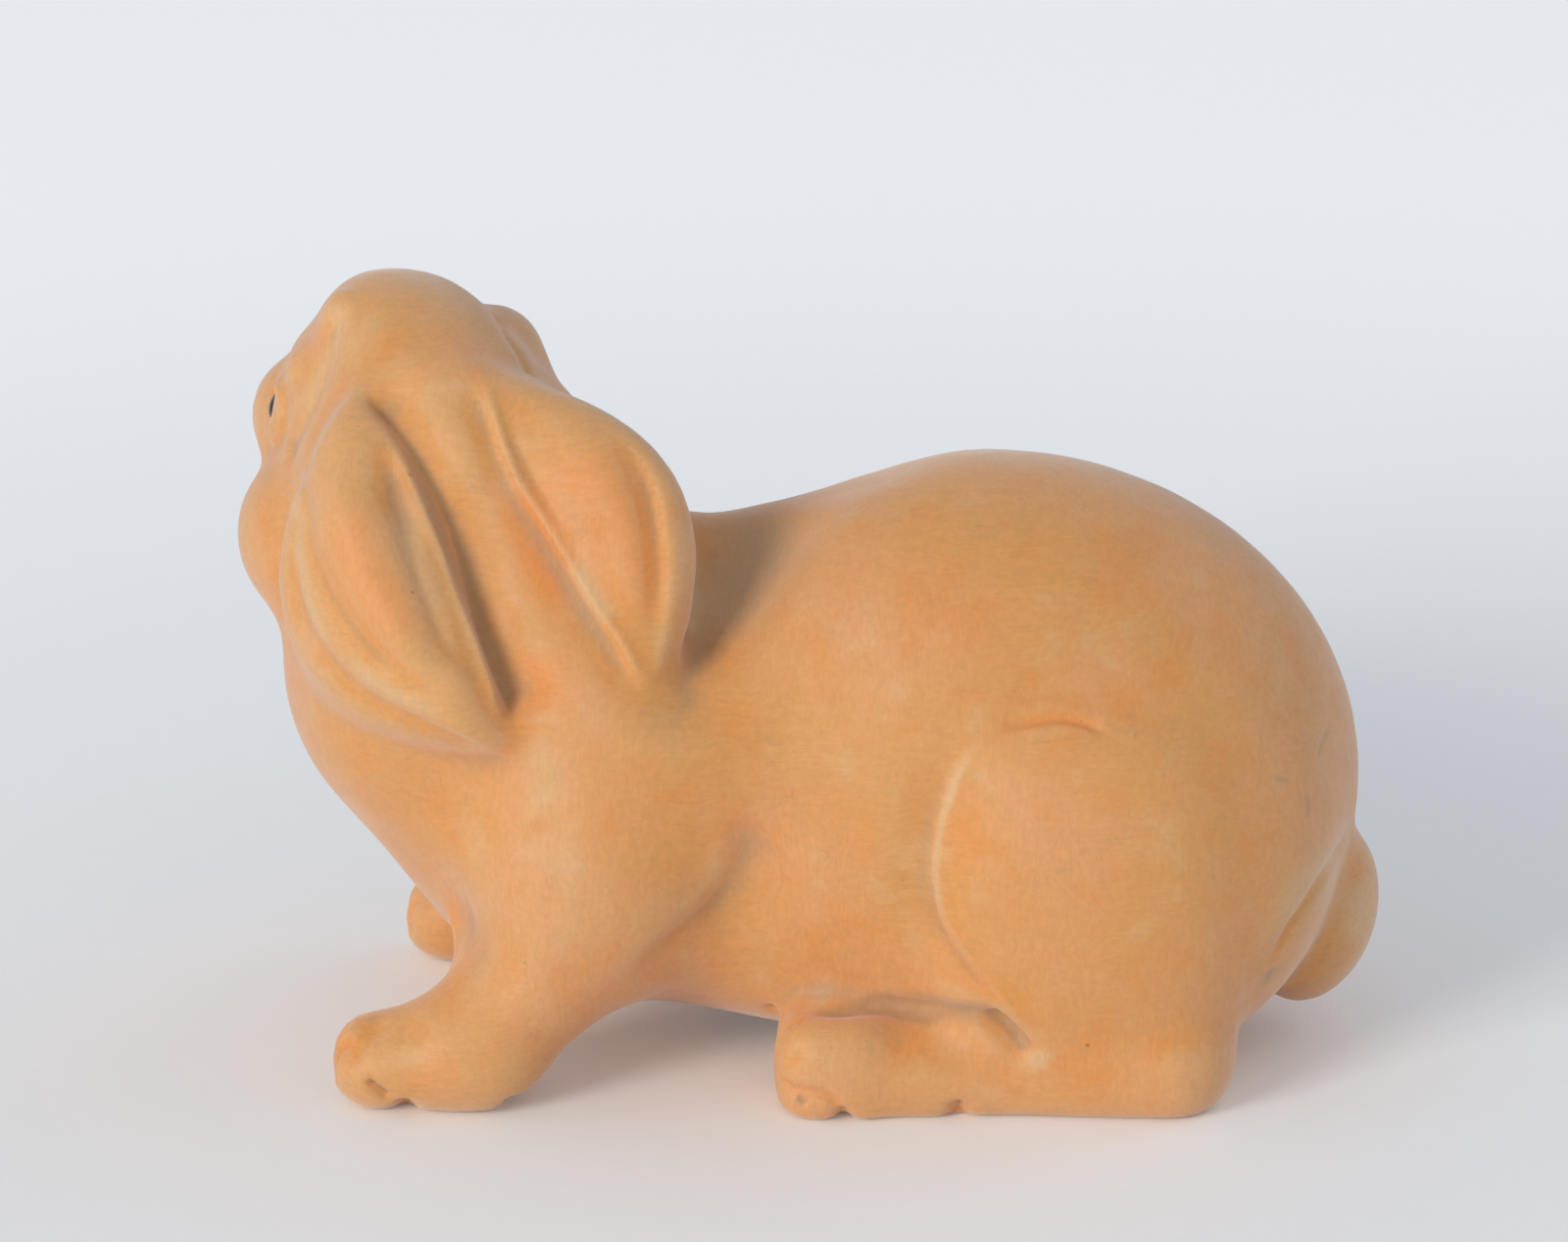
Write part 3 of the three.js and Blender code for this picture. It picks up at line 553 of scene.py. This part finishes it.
# Each stroke: its pixels, its width in mm, its strength, and whether the hidden right side has it too
TINTS = {
    "cream": {
        "left_ear_border": ([(298, 470), (299, 514), (300, 560), (312, 600), (326, 636)], 0.55, 0.9, False),
        "crown_ridge": ([(349, 297), (343, 331), (328, 372), (314, 406), (298, 440)], 0.6, 0.8, False),
        "tail_crease": ([(1379, 862), (1345, 885), (1315, 925), (1290, 960), (1268, 992)], 0.9, 0.6, True),
        "left_ear_rim": ([(304, 530), (303, 566), (311, 602), (326, 640), (346, 664)], 0.35, 0.8, False),
        "left_ear_low_rim": ([(346, 664), (372, 690), (400, 708), (430, 722), (460, 736)], 0.3, 0.8, False),
        "left_ear_valley": ([(404, 500), (423, 556), (440, 604), (458, 652)], 0.8, 0.95, False),
        "right_ear_foot": ([(720, 580), (712, 620), (706, 650)], 1.0, 1.0, False),
        # Paler, greyer tone of the painted shadow that the right ear casts behind it and over the saddle
        "right_ear_shadow": ([(745, 540), (738, 600), (730, 640)], 0.8, 1.0, False),
        "saddle_shadow": ([(805, 508), (775, 550), (745, 600), (712, 655)], 1.8, 1.0, False),
        # Paler on the tail: a painted haze of light reflected from the room
        "tail_haze": ([(1384, 890), (1388, 930), (1374, 968)], 1.4, 0.8, True),
        # Painted highlight on a ridge inside the right ear
        "right_ear_inner_highlight": ([(577, 566), (600, 600), (627, 645)], 0.4, 0.9, False),
        "left_ear_inner_rim": ([(431, 522), (448, 564), (477, 643), (502, 710)], 0.3, 0.9, False),
        "haunch_top": ([(1002, 712), (996, 732), (986, 754)], 0.4, 0.35, True),
        # Painted highlight along the haunch's front edge
        "haunch_ridge_highlight": (
            [(1004, 752), (982, 780), (965, 820), (955, 860), (953, 900), (962, 940), (982, 974)],
            0.24, 1.0, True,
        ),
        "belly_corner": ([(826, 1012), (850, 1022)], 0.9, 0.6, True),
        "foot_pocket_end": ([(1052, 1072), (1068, 1090)], 0.6, 0.9, True),
        "chest": ([(500, 850), (470, 870)], 1.2, 0.4, False),
        "shoulder": ([(530, 745), (560, 790), (540, 840)], 1.0, 0.5, False),
        "right_ear_border": ([(698, 520), (702, 560), (690, 630)], 0.5, 0.5, False),
    },
    "stain_and_shade": {
        "foot_top": ([(890, 1022), (955, 1027), (1008, 1038), (1040, 1064), (1053, 1078)], 0.5, 0.9, True),
        "forepaw_pit": ([(374, 1101), (386, 1112), (397, 1120)], 0.25, 1.0, True),
        "hind_toe_pit": ([(812, 1119), (822, 1127)], 0.22, 0.9, True),
        # Painted shadow of the left ear on the nape, beside its inner rim
        "left_ear_wedge_shadow": ([(384, 425), (440, 520), (480, 600), (512, 690), (526, 742)], 0.6, 0.6, False),
        **{f"scratch_{turn}": (line, 0.12, 0.6, True) for turn, line in enumerate(RUMP_SCRATCHES)},
        "tail_root": ([(1298, 986), (1292, 1004)], 0.35, 0.8, True),
        # Painted shadow of the right ear, behind it and on the saddle
        "right_ear_shadow": ([(805, 505), (772, 552), (742, 604), (708, 660)], 2.3, 0.42, False),
        "haunch_cut": ([(1035, 741), (1054, 737), (1081, 734), (1104, 738), (1118, 744)], 0.16, 0.2, True),
        "right_ear_crease": ([(569, 582), (540, 528), (518, 490)], 0.16, 0.3, False),
        "forepaw_toe": ([(378, 1036), (383, 1046)], 0.2, 0.6, True),
        "forepaw_tip": ([(340, 1064), (344, 1084)], 0.3, 0.4, True),
    },
    "flush": {
        "nape": ([(600, 690), (560, 700), (560, 650)], 1.6, 0.6, False),
        "right_ear_hollow": ([(560, 440), (620, 500), (650, 570), (655, 650)], 1.2, 0.9, False),
        "left_ear_middle": ([(345, 500), (362, 560), (392, 620), (425, 672)], 1.2, 0.95, False),
        "between_ears": ([(520, 480), (550, 560), (570, 640)], 1.2, 0.7, False),
        "far_forepaw_top": ([(420, 950), (436, 944), (452, 938), (468, 934)], 0.5, 1.0, False),
        "far_forepaw_side": ([(436, 972), (448, 964), (460, 955)], 0.4, 0.8, False),
        "forepaw_heel": ([(420, 1080), (450, 1095), (480, 1090)], 1.2, 0.6, False),
        "haunch_front": ([(1000, 790), (985, 850), (1010, 900)], 1.2, 0.35, True),
        "forepaw_toes": ([(350, 1056), (354, 1080), (362, 1100)], 0.5, 0.6, True),
        "hind_foot_top": ([(804, 1049), (811, 1041), (850, 1035), (920, 1034)], 0.35, 0.5, True),
        "jowl": ([(292, 480), (300, 470)], 0.4, 0.7, False),
        "haunch_cut": (HAUNCH_CUT, 0.25, 1.0, True),
    },
}

for name, strokes in TINTS.items():
    amounts = np.zeros(len(surface.places))
    for pixels, width, amount, both in strokes.values():
        line = seen(*pixels)
        for placed in [line, on_right_side(line)] if both else [line]:
            rows, share = touch(surface, placed, width, taper=TINT_TAPER)
            amounts[rows] = np.maximum(amounts[rows], amount * share)
    surface.keep(name, amounts)


# Boxwood
# Dense pale wood, stained warm and rubbed with wax. Fine fibres and scraping marks cross it, the
# stain is deeper in the cuts and thinner on the ridges, and painted shade darkens the cuts and the
# wide hollows further. Dark specks and a haze of dust lie on it.
WOOD = (0.74, 0.335, 0.094, 1)
WOOD_ORANGE = (0.77, 0.285, 0.056, 1)
WOOD_PINK = (0.77, 0.345, 0.13, 1)
WOOD_CREAM = (0.74, 0.46, 0.225, 1)
WOOD_FLUSH = (0.84, 0.265, 0.042, 1)
WOOD_STAIN_AND_SHADE = (0.35, 0.24, 0.145, 1)
WOOD_SPECK = (0.17, 0.075, 0.035, 1)
CLOUD_SCALE = 0.15
BLOTCH_SCALE = 0.36
GRAIN_SCALE = 3.2
SWAY_SCALE = 0.3
SWAY = 1.2
SPECK_SCALE = 0.42
PORE_SCALES = (2.2, 2.6, 3.4)
WOOD_SCRATCH_SCALE = 0.7
RELIEF_STRENGTH = 0.25
RELIEF_DEPTH = 0.015 * MM
DUST_SHEEN = 0.52
DUST_SHEEN_ROUGHNESS = 0.48


def put(tree, socket, value):
    """Gives an input a number or a colour, or links it to another node's output"""
    if isinstance(value, bpy.types.NodeSocket):
        tree.links.new(value, socket)
    else:
        socket.default_value = value


def node(tree, kind, inputs, **settings):
    """A new shader node, with its inputs and settings"""
    made = tree.nodes.new(kind)
    for name, value in settings.items():
        setattr(made, name, value)
    for name, value in inputs.items():
        put(tree, made.inputs[name], value)
    return made


def noise(tree, place, scale, detail=2.0, roughness=0.5):
    inputs = {"Vector": place, "Scale": scale, "Detail": detail, "Roughness": roughness}
    return node(tree, "ShaderNodeTexNoise", inputs).outputs["Fac"]


def sums(tree, kind, first, second):
    return node(tree, "ShaderNodeMath", {0: first, 1: second}, operation=kind).outputs[0]


def stretched(tree, place, amounts):
    return node(tree, "ShaderNodeVectorMath", {0: place, 1: amounts}, operation="MULTIPLY").outputs[0]


def between(tree, value, low, high, start=0.0, end=1.0):
    """Turns the range from low to high into start to end, with soft ends"""
    inputs = {"Value": value, "From Min": low, "From Max": high, "To Min": start, "To Max": end}
    return node(tree, "ShaderNodeMapRange", inputs, interpolation_type="SMOOTHSTEP").outputs["Result"]


def mixed(tree, share, first, second, way="MIX"):
    made = node(tree, "ShaderNodeMix", {0: share, 6: first, 7: second}, data_type="RGBA", blend_type=way)
    return made.outputs[2]


def painted(tree, name):
    return node(tree, "ShaderNodeAttribute", {}, attribute_name=name).outputs["Fac"]


def millimetres(tree):
    place = node(tree, "ShaderNodeTexCoord", {}).outputs["Object"]
    return stretched(tree, place, (1 / MM, 1 / MM, 1 / MM))


def handled_group():
    """Hairline scratches and small dull patches from years of handling, for the wood and the horn"""
    group = bpy.data.node_groups.new("handling", "ShaderNodeTree")
    group.interface.new_socket("Place", in_out="INPUT", socket_type="NodeSocketVector")
    group.interface.new_socket("Scratch Scale", in_out="INPUT", socket_type="NodeSocketFloat")
    group.interface.new_socket("Scratches", in_out="OUTPUT", socket_type="NodeSocketFloat")
    group.interface.new_socket("Dullness", in_out="OUTPUT", socket_type="NodeSocketFloat")
    entry = group.nodes.new("NodeGroupInput")
    leave = group.nodes.new("NodeGroupOutput")
    place = entry.outputs["Place"]
    scale = entry.outputs["Scratch Scale"]
    lines = noise(group, stretched(group, place, (0.35, 4.0, 5.0)), scale, 1.0)
    other = noise(group, stretched(group, place, (3.6, 3.6, 0.4)), scale, 1.0)
    thin = between(group, sums(group, "ABSOLUTE", sums(group, "SUBTRACT", lines, 0.5), 0), 0.0, 0.012, 1, 0)
    cross = between(group, sums(group, "ABSOLUTE", sums(group, "SUBTRACT", other, 0.5), 0), 0.0, 0.01, 1, 0)
    where = between(group, noise(group, place, 0.5, 2.0), 0.5, 0.66)
    both = sums(group, "MULTIPLY", sums(group, "MAXIMUM", thin, cross), where)
    put(group, leave.inputs["Scratches"], both)
    put(group, leave.inputs["Dullness"], between(group, noise(group, place, 0.8, 4.0, 0.6), 0.35, 0.7))
    return group


handling = handled_group()


def handled(tree, place, scale):
    made = node(tree, "ShaderNodeGroup", {}, node_tree=handling)
    put(tree, made.inputs["Place"], place)
    put(tree, made.inputs["Scratch Scale"], scale)
    return made.outputs["Scratches"], made.outputs["Dullness"]


def fibres(tree, place):
    """Fine streaks: level on some parts, upright or slanting on others"""
    level = noise(tree, stretched(tree, place, (0.7, 2.4, 9.0)), 1.0, 4.0, 0.7)
    upright = noise(tree, stretched(tree, place, (8.0, 2.4, 1.1)), 1.0, 4.0, 0.7)
    where = between(tree, noise(tree, place, 0.16, 1.0), 0.44, 0.56)
    return mixed(tree, where, level, upright)


def stain_and_shade_share(tree, hollow, grain):
    """Stain with painted shade: darker in the cuts and the wide hollows, and where it is painted"""
    # Painted shade over some stain: darker in the cuts and in the wide hollows, where shade falls
    in_cuts = between(tree, hollow, 0.03, 0.18, 0, 0.5)
    in_valleys = between(tree, painted(tree, "valley"), 0.35, 1.3, 0, 0.14)
    uneven = between(tree, grain, 0.3, 0.6, 0.45, 0.95)
    by_form = sums(tree, "MAXIMUM", in_cuts, in_valleys)
    return sums(tree, "MAXIMUM", by_form, sums(tree, "MULTIPLY", painted(tree, "stain_and_shade"), uneven))


def wood_with_stain_and_painted_light(tree, bent, hollow, stain_and_shade):
    """Broad colour changes, painted tints and painted light, worn ridges, and stain with painted shade"""
    cloud = noise(tree, bent, CLOUD_SCALE, 3.0, 0.55)
    blotch = noise(tree, bent, BLOTCH_SCALE, 4.0, 0.6)
    colour = mixed(tree, between(tree, cloud, 0.42, 0.68, 0, 0.85), WOOD, WOOD_PINK)
    colour = mixed(tree, between(tree, blotch, 0.5, 0.68, 0, 0.55), colour, WOOD_ORANGE)
    colour = mixed(tree, between(tree, blotch, 0.46, 0.3, 0, 0.32), colour, WOOD_CREAM)
    colour = mixed(tree, painted(tree, "flush"), colour, WOOD_FLUSH)
    # Pale tints, among them painted highlights, a painted haze and the pale tone of a painted shadow
    colour = mixed(tree, painted(tree, "cream"), colour, WOOD_CREAM)
    colour = mixed(tree, between(tree, hollow, -0.02, -0.09, 0, 0.3), colour, WOOD_CREAM)
    return mixed(tree, stain_and_shade, colour, WOOD_STAIN_AND_SHADE)


def shaded(tree, colour, fibre, grain):
    """The colour, a little darker and lighter along the fibres"""
    shade = between(tree, fibre, 0.3, 0.7, 0.955, 1.035)
    shade = sums(tree, "MULTIPLY", shade, between(tree, grain, 0.3, 0.7, 0.96, 1.035))
    grey = node(tree, "ShaderNodeCombineColor", {0: shade, 1: shade, 2: shade}).outputs[0]
    return mixed(tree, 1.0, colour, grey, "MULTIPLY")


def dark_specks(tree, place):
    """Specks in some of the cells of a loose pattern"""
    cells = node(tree, "ShaderNodeTexVoronoi", {"Vector": place, "Scale": SPECK_SCALE})
    chosen = node(tree, "ShaderNodeSeparateColor", {0: cells.outputs["Color"]}).outputs[0]
    near = between(tree, cells.outputs["Distance"], 0.015, 0.055, 1, 0)
    return sums(tree, "MULTIPLY", near, between(tree, chosen, 0.5, 0.95, 0, 0.55))


def open_pores(tree, bent):
    holes = node(tree, "ShaderNodeTexVoronoi", {"Vector": stretched(tree, bent, PORE_SCALES), "Scale": 1.0})
    return between(tree, holes.outputs["Distance"], 0.04, 0.2, 1, 0)


def relief(tree, fibre, grain, pores, scratches):
    """The fine unevenness that the fingers feel: fibres stand up, pores and scratches go in"""
    height = sums(tree, "ADD", fibre, sums(tree, "MULTIPLY", grain, 0.8))
    height = sums(tree, "SUBTRACT", height, sums(tree, "MULTIPLY", pores, 0.6))
    height = sums(tree, "SUBTRACT", height, sums(tree, "MULTIPLY", scratches, 0.5))
    inputs = {"Strength": RELIEF_STRENGTH, "Distance": RELIEF_DEPTH, "Height": height}
    return node(tree, "ShaderNodeBump", inputs).outputs["Normal"]


def boxwood():
    wood = bpy.data.materials.new("boxwood")
    wood.use_nodes = True
    tree = wood.node_tree
    shader = tree.nodes["Principled BSDF"]
    place = millimetres(tree)
    wavy = node(tree, "ShaderNodeTexNoise", {"Vector": place, "Scale": SWAY_SCALE, "Detail": 2.0})
    inputs = {0: wavy.outputs["Color"], 1: (SWAY,) * 3, 2: place}
    bent = node(tree, "ShaderNodeVectorMath", inputs, operation="MULTIPLY_ADD").outputs[0]
    fibre = fibres(tree, bent)
    grain = noise(tree, bent, GRAIN_SCALE, 3.0, 0.65)
    hollow = painted(tree, "hollow")
    stain_and_shade = stain_and_shade_share(tree, hollow, grain)
    pores = open_pores(tree, bent)
    scratches, dullness = handled(tree, place, WOOD_SCRATCH_SCALE)

    colour = shaded(tree, wood_with_stain_and_painted_light(tree, bent, hollow, stain_and_shade), fibre, grain)
    colour = mixed(tree, sums(tree, "MULTIPLY", pores, 0.14), colour, WOOD_STAIN_AND_SHADE)
    colour = mixed(tree, dark_specks(tree, place), colour, WOOD_SPECK)
    colour = mixed(tree, sums(tree, "MULTIPLY", scratches, 0.3), colour, WOOD_STAIN_AND_SHADE)
    worn = between(tree, dullness, 0, 1, 0.55, 0.68)
    roughness = sums(tree, "ADD", worn, sums(tree, "MULTIPLY", stain_and_shade, 0.2))
    put(tree, shader.inputs["Base Color"], colour)
    put(tree, shader.inputs["Roughness"], roughness)
    put(tree, shader.inputs["Normal"], relief(tree, fibre, grain, pores, scratches))
    shader.inputs["Sheen Weight"].default_value = DUST_SHEEN
    shader.inputs["Sheen Roughness"].default_value = DUST_SHEEN_ROUGHNESS
    return wood


body.data.materials.clear()
body.data.materials.append(boxwood())


# Eyes
# Two small pegs of dark horn, glued into drilled sockets and polished to a low dome.
# They replace the plain pegs: each bead fills its socket, and the lids lap its edge.
EYE_LENGTH = 1.95
EYE_HEIGHT = 1.3
EYE_BULGE = 0.5
EYE_SINK = 0.23
EYE_SEGMENTS = 48
EYE_OUTWARD = 0.4
HORN_SCRATCH_SCALE = 1.5
HORN = (0.012, 0.009, 0.008, 1)
HORN_STREAK = (0.05, 0.022, 0.011, 1)


def horn():
    dark = bpy.data.materials.new("horn")
    dark.use_nodes = True
    tree = dark.node_tree
    shader = tree.nodes["Principled BSDF"]
    place = millimetres(tree)
    layers = noise(tree, stretched(tree, place, (1.0, 1.0, 4.0)), 1.4, 4.0, 0.6)
    scratches, dullness = handled(tree, place, HORN_SCRATCH_SCALE)
    worn = between(tree, dullness, 0, 1, 0.1, 0.2)
    roughness = sums(tree, "ADD", worn, sums(tree, "MULTIPLY", scratches, 0.15))
    put(tree, shader.inputs["Base Color"], mixed(tree, between(tree, layers, 0.45, 0.7), HORN, HORN_STREAK))
    put(tree, shader.inputs["Roughness"], roughness)
    return dark


def bead(node_name, side, material):
    """A low dome that looks outward, with its edge under the lids"""
    outward, along = eye_directions(side)
    shape = bmesh.new()
    bmesh.ops.create_uvsphere(shape, u_segments=EYE_SEGMENTS, v_segments=EYE_SEGMENTS // 2, radius=MM)
    bmesh.ops.scale(shape, verts=shape.verts, vec=(EYE_LENGTH / 2, EYE_HEIGHT / 2, EYE_BULGE))
    turn = Matrix((along, outward.cross(along), outward)).transposed()
    bmesh.ops.rotate(shape, verts=shape.verts, matrix=turn)
    lids = lid(node_name, side)
    ring = [smooth_wood.find_nearest(place + outward * EYE_OUTWARD * MM)[0] for place in lids]
    level = sum((place - node_centre(node_name)).dot(outward) for place in ring) / len(ring)
    centre = node_centre(node_name) + outward * (level - EYE_SINK * MM)
    bmesh.ops.translate(shape, verts=shape.verts, vec=centre)
    mesh = bpy.data.meshes.new(node_name + "_bead")
    for face in shape.faces:
        face.smooth = True
    shape.to_mesh(mesh)
    shape.free()
    mesh.materials.append(material)
    piece = bpy.data.objects.new(node_name + "_bead", mesh)
    bpy.context.scene.collection.objects.link(piece)
    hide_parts(node_name)
    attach(piece, "root")


dark_horn = horn()
bead("left_eye", 1, dark_horn)
bead("right_eye", -1, dark_horn)


# Floor and light
# A wide pale sheet, a large soft lamp in front on the left, a weaker cool one behind on the right,
# and a pale room all round.
FLOOR_SIZE = 6
FLOOR_COLOUR = (0.93, 0.93, 0.93, 1)
FLOOR_SEEN = (0.945, 0.965, 0.975, 1)
FLOOR_TOOTH = (0.7, 0.7, 0.7, 1)
FLOOR_TOOTH_SCALE = 900
FLOOR_ROUGHNESS = 0.8
FLOOR_LIFT = 0.09
FLOOR_LIFT_FAR = 0.24
FLOOR_NEAR = 5 * MM
FLOOR_FAR = 160 * MM
ROOM_COLOUR = (0.92, 0.97, 1.05, 1)
ROOM_AT_HORIZON = 0.66
ROOM_OVERHEAD = 0.34
LAMP_COLOUR = (1.0, 0.965, 0.91)
LAMP_POWER = 11.6
LAMP_SIZE = 520 * MM
LAMP_PLACE = Vector((-950, -1040, 500)) * MM
FILL_COLOUR = (0.84, 0.94, 1.1)
FILL_POWER = 1.7
FILL_SIZE = 900 * MM
FILL_PLACE = Vector((1050, 500, 620)) * MM


def floor_paper():
    """White paper, seen a little brighter by the camera and in reflections than it lights the wood"""
    paper = bpy.data.materials.new("floor_paper")
    paper.use_nodes = True
    tree = paper.node_tree
    shader = tree.nodes["Principled BSDF"]
    ray = node(tree, "ShaderNodeLightPath", {}).outputs
    mirrored = sums(tree, "ADD", ray["Is Glossy Ray"], ray["Is Transmission Ray"])
    seen_by = sums(tree, "ADD", ray["Is Camera Ray"], mirrored)
    place = node(tree, "ShaderNodeTexCoord", {}).outputs["Object"]
    tooth = between(tree, noise(tree, place, FLOOR_TOOTH_SCALE, 3.0), 0.3, 0.7, 0, 0.05)
    paper_colour = mixed(tree, seen_by, FLOOR_COLOUR, FLOOR_SEEN)
    put(tree, shader.inputs["Base Color"], mixed(tree, tooth, paper_colour, FLOOR_TOOTH))
    shader.inputs["Roughness"].default_value = FLOOR_ROUGHNESS
    shader.inputs["Emission Color"].default_value = (1, 1, 1, 1)
    # The paper glows faintly for the camera and in reflections, a painted glow that is weaker near the
    # rabbit, so that its shadow stays dark, and stronger far off.
    away = node(tree, "ShaderNodeVectorMath", {0: place}, operation="LENGTH").outputs["Value"]
    lift = between(tree, away, FLOOR_NEAR, FLOOR_FAR, FLOOR_LIFT, FLOOR_LIFT_FAR)
    put(tree, shader.inputs["Emission Strength"], sums(tree, "MULTIPLY", seen_by, lift))
    return paper


def floor_sheet():
    shape = bmesh.new()
    bmesh.ops.create_grid(shape, x_segments=1, y_segments=1, size=FLOOR_SIZE / 2)
    mesh = bpy.data.meshes.new("floor")
    shape.to_mesh(mesh)
    shape.free()
    mesh.materials.append(floor_paper())
    sheet = bpy.data.objects.new("floor", mesh)
    bpy.context.scene.collection.objects.link(sheet)
    return sheet


def lamp(name, place, power, size, colour):
    data = bpy.data.lights.new(name, "AREA")
    data.energy = power
    data.size = size
    data.color = colour
    made = bpy.data.objects.new(name, data)
    made.location = place
    made.rotation_mode = "QUATERNION"
    made.rotation_quaternion = (CAMERA_TARGET - place).to_track_quat("-Z", "Y")
    bpy.context.scene.collection.objects.link(made)


def room():
    """A pale room that is darker overhead"""
    world = bpy.data.worlds.new("room")
    world.use_nodes = True
    tree = world.node_tree
    aim = node(tree, "ShaderNodeTexCoord", {}).outputs["Generated"]
    height = node(tree, "ShaderNodeSeparateXYZ", {0: aim}).outputs["Z"]
    inputs = {"Value": height, "To Min": ROOM_AT_HORIZON, "To Max": ROOM_OVERHEAD}
    strength = node(tree, "ShaderNodeMapRange", inputs).outputs["Result"]
    background = tree.nodes["Background"]
    background.inputs["Color"].default_value = ROOM_COLOUR
    put(tree, background.inputs["Strength"], strength)
    return world


floor_sheet()
lamp("soft_lamp", LAMP_PLACE, LAMP_POWER, LAMP_SIZE, LAMP_COLOUR)
lamp("cool_fill", FILL_PLACE, FILL_POWER, FILL_SIZE, FILL_COLOUR)
bpy.context.scene.world = room()
bpy.context.scene.view_settings.view_transform = "Standard"
